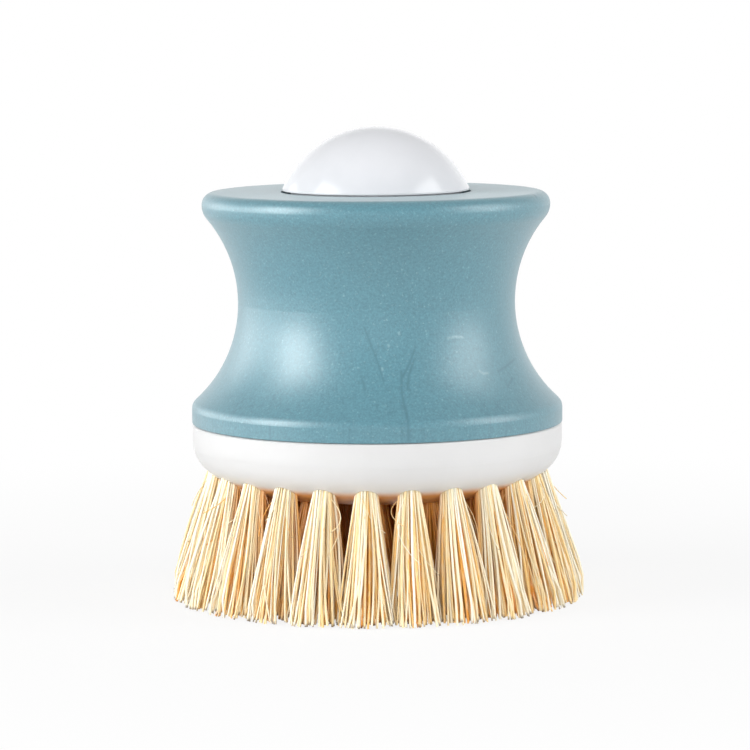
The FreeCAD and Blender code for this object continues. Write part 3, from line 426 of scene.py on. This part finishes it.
# some of the cut ends are dark
nearEnd = remap(tree, along, fibreLook["cutAlong"])
endPick = calc(tree, "FRACT", calc(tree, "MULTIPLY", shade, fibreLook["cutPick"]))
endShare = remap(tree, endPick, fibreLook["cutSpan"], (0.0, fibreLook["cutShare"]))
colour = blend(tree, calc(tree, "MULTIPLY", nearEnd, endShare), colour, linear(fibreLook["cutEnd"]))
principled(tree, {"Base Color": colour, "Roughness": remap(tree, streak, toSpan=fibreLook["roughness"]), "IOR": 1.5,
                  "Specular IOR Level": fibreLook["wax"]})


def socketsOf(tree, numbers, counts=()):
    # makes the named inputs of a Geometry Nodes tree and its one output, and returns the inputs
    for names, kind in ((counts, "NodeSocketInt"), (numbers, "NodeSocketFloat")):
        for name in names:
            tree.interface.new_socket(name, in_out="INPUT", socket_type=kind)
    tree.interface.new_socket("Geometry", in_out="OUTPUT", socket_type="NodeSocketGeometry")
    return add(tree, "NodeGroupInput").outputs


def store(tree, geometry, name, value, kind="FLOAT"):
    return add(tree, "GeometryNodeStoreNamedAttribute", {"Geometry": geometry, "Name": name, "Value": value},
               data_type=kind, domain="POINT").outputs[0]


def stored(tree, name, kind="FLOAT"):
    return add(tree, "GeometryNodeInputNamedAttribute", {"Name": name}, data_type=kind).outputs[0]


def draw(tree, low, high, seed):
    # a random number or vector for each point
    forPoint = {"ID": add(tree, "GeometryNodeInputIndex").outputs[0], "Seed": seed}
    if isinstance(low, tuple):
        return add(tree, "FunctionNodeRandomValue", {0: low, 1: high, **forPoint}, data_type="FLOAT_VECTOR").outputs[0]
    return add(tree, "FunctionNodeRandomValue", {2: low, 3: high, **forPoint}, data_type="FLOAT").outputs[1]


def turnAboutZ(tree, vector, angle):
    return add(tree, "ShaderNodeVectorRotate", {"Vector": vector, "Angle": angle}, rotation_type="Z_AXIS").outputs[0]


def moveTo(tree, geometry, position):
    return add(tree, "GeometryNodeSetPosition", {"Geometry": geometry, "Position": position}).outputs[0]


def copiesOn(tree, points, instance, rotation, scale=(1, 1, 1)):
    copies = add(tree, "GeometryNodeInstanceOnPoints", {"Points": points, "Instance": instance, "Rotation": rotation,
                 "Scale": scale})
    return add(tree, "GeometryNodeRealizeInstances", {"Geometry": copies.outputs[0]}).outputs[0]


def closeTree(tree, geometry, material):
    # shades the geometry smooth, realizes it, gives it its material and hands it out
    smooth = add(tree, "GeometryNodeSetShadeSmooth", {"Geometry": geometry})
    whole = add(tree, "GeometryNodeRealizeInstances", {"Geometry": smooth.outputs[0]})
    coloured = add(tree, "GeometryNodeSetMaterial", {"Geometry": whole.outputs[0], "Material": material})
    add(tree, "NodeGroupOutput", {0: coloured.outputs[0]})


def meshFromNodes(name, tree, values):
    # runs a tree on an empty mesh with the given inputs, and returns a plain mesh object
    holder = bpy.data.objects.new(name + "Holder", bpy.data.meshes.new(name + "Holder"))
    bpy.context.scene.collection.objects.link(holder)
    modifier = holder.modifiers.new(name, "NODES")
    modifier.node_group = tree
    for item in tree.interface.items_tree:
        if item.in_out == "INPUT":
            modifier[item.identifier] = values[item.name]
    depsgraph = bpy.context.evaluated_depsgraph_get()
    mesh = bpy.data.meshes.new_from_object(holder.evaluated_get(depsgraph), depsgraph=depsgraph)
    mesh.name = name
    bpy.data.objects.remove(holder)
    piece = bpy.data.objects.new(name, mesh)
    bpy.context.scene.collection.objects.link(piece)
    return piece


# Tufts: every fibre is a thin tube that starts in its hole, fans out from the tuft's axis and is trimmed near the floor
tuftBuild = {"fullness": (0.9, 1.06), "lowestTrim": 0.15 * mm, "bowLow": (-1, -1, -0.1), "bowHigh": (1, 1, 0.1),
             "strandPoints": 9, "tubeSides": 5, "widths": (0.6, 1.3), "widthPick": 13.7,
             "seedSteps": {"trim": 11, "shade": 23, "bow": 37, "scatter": 53, "stray": 71}}
tuftTree = tree = bpy.data.node_groups.new("fibreTufts", "GeometryNodeTree")
given = socketsOf(tree, counts=("Tufts", "Fibres", "Seed"), numbers=(
    "Front Turn", "Ring Radius", "Lean", "Mouth Height", "Root Radius", "Tip Radius", "Depth In Hole", "Fibre Radius",
    "Flare", "Bow", "Scatter", "Stray Share", "Stray Reach", "Painted Shade", "Uneven Trim", "Trim Skew", "Reach Limit"))
seeds = {name: calc(tree, "ADD", given["Seed"], step) for name, step in tuftBuild["seedSteps"].items()}
index = add(tree, "GeometryNodeInputIndex").outputs[0]
position = add(tree, "GeometryNodeInputPosition").outputs[0]

# roots of one tuft: a sunflower spread over the mouth of its hole
rankShare = calc(tree, "DIVIDE", calc(tree, "ADD", index, 0.5), given["Fibres"])
swirl = calc(tree, "MULTIPLY", index, math.pi * (3 - math.sqrt(5)))
disc = turnAboutZ(tree, combine(tree, X=calc(tree, "SQRT", rankShare)), swirl)
roots = add(tree, "GeometryNodePoints", {"Count": given["Fibres"]}).outputs[0]
roots = moveTo(tree, roots, calcVector(tree, "SCALE", disc, Scale=given["Root Radius"]))
# painted shade: how amber this ring's fibres are drawn
roots = store(tree, roots, "ringPaintedShade", given["Painted Shade"])
roots = store(tree, roots, "inTuft", disc, "FLOAT_VECTOR")

# one point for each tuft on its ring, turned to face outwards and leaning with its hole
tuftShare = calc(tree, "DIVIDE", index, given["Tufts"])
tuftTurn = calc(tree, "MULTIPLY_ADD", tuftShare, 2 * math.pi, given["Front Turn"])
ringSpoke = combine(tree, X=given["Ring Radius"], Z=given["Mouth Height"])
facing = combine(tree, Y=calc(tree, "MULTIPLY", given["Lean"], -1.0), Z=tuftTurn)
ring = add(tree, "GeometryNodePoints", {"Count": given["Tufts"]}).outputs[0]
ring = moveTo(tree, ring, turnAboutZ(tree, ringSpoke, tuftTurn))
ring = store(tree, ring, "tuftFacing", facing, "FLOAT_VECTOR")
ring = store(tree, ring, "tuftFullness", draw(tree, *tuftBuild["fullness"], given["Seed"]))
fibres = copiesOn(tree, ring, roots, facing)

# each fibre tips outwards by its place in the tuft, and is as long as the trim leaves it
inTuft = stored(tree, "inTuft", "FLOAT_VECTOR")
spread = calc(tree, "SUBTRACT", given["Tip Radius"], given["Root Radius"])
slope = calc(tree, "DIVIDE", spread, given["Mouth Height"])
fanAngle = calc(tree, "MULTIPLY", slope, stored(tree, "tuftFullness"))
fan = calc(tree, "MULTIPLY", fanAngle, calcVector(tree, "LENGTH", inTuft))
fanAxis = calcVector(tree, "CROSS_PRODUCT", (0, 0, -1), inTuft)
fanTurn = add(tree, "FunctionNodeAxisAngleToRotation", {"Axis": fanAxis, "Angle": fan}).outputs[0]
tuftRotation = add(tree, "FunctionNodeEulerToRotation", {0: stored(tree, "tuftFacing", "FLOAT_VECTOR")}).outputs[0]
fibreRotation = add(tree, "FunctionNodeRotateRotation", {"Rotation": tuftRotation, "Rotate By": fanTurn},
                    rotation_space="LOCAL").outputs[0]
down = add(tree, "FunctionNodeRotateVector", {"Vector": (0, 0, -1), "Rotation": fibreRotation}).outputs[0]
trimShare = calc(tree, "POWER", draw(tree, 0.0, 1.0, seeds["trim"]), given["Trim Skew"])
trim = calc(tree, "MULTIPLY_ADD", trimShare, given["Uneven Trim"], tuftBuild["lowestTrim"])
drop = calc(tree, "SUBTRACT", trim, separate(tree, position)["Z"])
fibreScale = combine(tree, X=1.0, Y=1.0, Z=calc(tree, "DIVIDE", drop, separate(tree, down)["Z"]))
holeTop = combine(tree, Z=calc(tree, "DIVIDE", given["Depth In Hole"], given["Mouth Height"]))
strand = add(tree, "GeometryNodeCurvePrimitiveLine", {"Start": holeTop, "End": (0, 0, -1)}).outputs[0]
strand = add(tree, "GeometryNodeResampleCurve", {"Curve": strand, "Count": tuftBuild["strandPoints"]}).outputs[0]

# its shade, its bow and flare, and how far its tip strays
fibres = store(tree, fibres, "fibreShade", draw(tree, 0.0, 1.0, seeds["shade"]))
bow = calcVector(tree, "SCALE", draw(tree, tuftBuild["bowLow"], tuftBuild["bowHigh"], seeds["bow"]), Scale=given["Bow"])
outwards = add(tree, "FunctionNodeRotateVector", {"Vector": inTuft, "Rotation": tuftRotation}).outputs[0]
flare = calcVector(tree, "SCALE", outwards, Scale=given["Flare"])
fibres = store(tree, fibres, "fibreBow", calcVector(tree, "ADD", bow, flare), "FLOAT_VECTOR")
strays = add(tree, "FunctionNodeRandomValue", {"Probability": given["Stray Share"], "ID": index,
             "Seed": seeds["stray"]}, data_type="BOOLEAN").outputs[3]
scatterSize = add(tree, "GeometryNodeSwitch", {"Switch": strays, "False": given["Scatter"],
                  "True": given["Stray Reach"]}, input_type="FLOAT").outputs[0]
scatter = calcVector(tree, "SCALE", draw(tree, (-1, -1, 0), (1, 1, 0), seeds["scatter"]), Scale=scatterSize)
fibres = store(tree, fibres, "fibreScatter", scatter, "FLOAT_VECTOR")
strands = copiesOn(tree, fibres, strand, fibreRotation, fibreScale)

# below the mouth: bow in the middle, scatter towards the tip, and nothing past the reach of the trimmed tufts
factor = add(tree, "GeometryNodeSplineParameter").outputs["Factor"]
wholeLength = calc(tree, "ADD", given["Depth In Hole"], given["Mouth Height"])
mouthFactor = calc(tree, "DIVIDE", given["Depth In Hole"], wholeLength)
below = remap(tree, factor, (mouthFactor, 1.0))
arch = calc(tree, "MULTIPLY", calc(tree, "MULTIPLY", below, -1.0), calc(tree, "MULTIPLY_ADD", 4.0, below, -4.0))
bowMove = calcVector(tree, "SCALE", stored(tree, "fibreBow", "FLOAT_VECTOR"), Scale=arch)
scatterMove = calcVector(tree, "SCALE", stored(tree, "fibreScatter", "FLOAT_VECTOR"),
                         Scale=calc(tree, "POWER", below, 2.0))
moved = calcVector(tree, "ADD", position, calcVector(tree, "ADD", bowMove, scatterMove))
reach = calcVector(tree, "LENGTH", calcVector(tree, "MULTIPLY", moved, (1, 1, 0)))
within = calc(tree, "MINIMUM", calc(tree, "DIVIDE", given["Reach Limit"], reach), 1.0)
held = calcVector(tree, "MULTIPLY", moved, combine(tree, X=within, Y=within, Z=1.0))
strands = store(tree, moveTo(tree, strands, held), "alongFibre", factor)
widthShare = calc(tree, "FRACT", calc(tree, "MULTIPLY", stored(tree, "fibreShade"), tuftBuild["widthPick"]))
fibreRadius = calc(tree, "MULTIPLY", remap(tree, widthShare, toSpan=tuftBuild["widths"]), given["Fibre Radius"])
profile = add(tree, "GeometryNodeCurvePrimitiveCircle", {"Resolution": tuftBuild["tubeSides"], "Radius": 1.0})
tubes = add(tree, "GeometryNodeCurveToMesh", {"Curve": strands, "Profile Curve": profile.outputs[0],
            "Scale": fibreRadius, "Fill Caps": True})
closeTree(tree, tubes.outputs[0], plantFibre)

# the middle and inner rings carry a strong painted amber shade
tuftLooks = {
    "outer": {"Tufts": 24, "Fibres": 96, "Ring Radius": 30.5 * mm, "Lean": math.radians(11), "Mouth Height": 23.0 * mm,
              "Tip Radius": 5.3 * mm, "Depth In Hole": 4.5 * mm, "Painted Shade": 0.0, "Seed": 4},
    "middle": {"Tufts": 12, "Fibres": 100, "Ring Radius": 21.3 * mm, "Lean": math.radians(6), "Mouth Height": 20.4 * mm,
               "Tip Radius": 5.6 * mm, "Depth In Hole": 6.5 * mm, "Painted Shade": 0.85, "Seed": 5},
    "inner": {"Tufts": 6, "Fibres": 90, "Ring Radius": 12.2 * mm, "Lean": math.radians(2), "Mouth Height": 20.4 * mm,
              "Tip Radius": 4.9 * mm, "Depth In Hole": 6.5 * mm, "Painted Shade": 0.95, "Seed": 6},
}
sharedLook = {"Front Turn": math.radians(-93.9), "Root Radius": 2.1 * mm, "Fibre Radius": 0.215 * mm,
              "Flare": 0.08 * mm, "Bow": 0.55 * mm, "Scatter": 1.05 * mm, "Stray Share": 0.06, "Stray Reach": 3.4 * mm,
              "Uneven Trim": 0.7 * mm, "Trim Skew": 2.5, "Reach Limit": 39.1 * mm}
for name, look in tuftLooks.items():
    bristles = meshFromNodes(name + "Bristles", tuftTree, {**sharedLook, **look})
    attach(bristles, "brush_head")
    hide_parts(*[f"{name}_tuft_{k + 1:02d}" for k in range(look["Tufts"])])
    triangles = sum(len(face.vertices) - 2 for face in bristles.data.polygons)
    print(name, "bristles:", look["Tufts"], "tufts,", triangles, "triangles")

# Loose whiskers: a few hair-thin fibres of the outer tufts that curl away and cross the gaps
whiskerLook = {**sharedLook, **tuftLooks["outer"], "Fibres": 7, "Fibre Radius": 0.075 * mm, "Bow": 2.4 * mm,
               "Scatter": 3.0 * mm, "Stray Share": 0.3, "Stray Reach": 4.5 * mm, "Uneven Trim": 19.0 * mm,
               "Trim Skew": 0.5, "Seed": 9}
whiskers = meshFromNodes("looseWhiskers", tuftTree, whiskerLook)
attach(whiskers, "brush_head")
print("loose whiskers:", whiskerLook["Tufts"] * whiskerLook["Fibres"])

# Return spring: six turns of round wire, the first and last closed up
springLook = {"Turns": 6.0, "Coil Radius": 8.2 * mm, "Wire Radius": 0.45 * mm, "End Rise": 1.5 * mm}
springBuild = {"pointsPerTurn": 36.0, "wireSides": 10}
springLow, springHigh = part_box("return_spring")
springLook["Foot"] = springLow.z + springLook["Wire Radius"]
springLook["Rise"] = springHigh.z - springLow.z - 2 * springLook["Wire Radius"]
springTree = tree = bpy.data.node_groups.new("closedEndSpring", "GeometryNodeTree")
given = socketsOf(tree, springLook)
wirePoints = calc(tree, "MULTIPLY_ADD", given["Turns"], springBuild["pointsPerTurn"], 1.0)
wire = add(tree, "GeometryNodeCurvePrimitiveLine", {"End": (0, 0, 1)}).outputs[0]
wire = add(tree, "GeometryNodeResampleCurve", {"Curve": wire, "Count": wirePoints}).outputs[0]
turned = calc(tree, "MULTIPLY", add(tree, "GeometryNodeSplineParameter").outputs["Factor"], given["Turns"])
lastTurn = calc(tree, "SUBTRACT", given["Turns"], 1.0)
openRise = calc(tree, "SUBTRACT", given["Rise"], calc(tree, "MULTIPLY", given["End Rise"], 2.0))
height = given["Foot"]
for fromSpan, rise in (((0.0, 1.0), given["End Rise"]), ((1.0, lastTurn), openRise),
                       ((lastTurn, given["Turns"]), given["End Rise"])):
    height = calc(tree, "ADD", height, remap(tree, turned, fromSpan, (0.0, rise)))
spoke = combine(tree, X=given["Coil Radius"], Z=height)
coil = moveTo(tree, wire, turnAboutZ(tree, spoke, calc(tree, "MULTIPLY", turned, 2 * math.pi)))
section = add(tree, "GeometryNodeCurvePrimitiveCircle", {"Resolution": springBuild["wireSides"],
              "Radius": given["Wire Radius"]})
tube = add(tree, "GeometryNodeCurveToMesh", {"Curve": coil, "Profile Curve": section.outputs[0], "Fill Caps": True})
closeTree(tree, tube.outputs[0], springSteel)
returnSpring = meshFromNodes("returnSpring", springTree, springLook)
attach(returnSpring, "handle")
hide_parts("return_spring")
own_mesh(returnSpring)
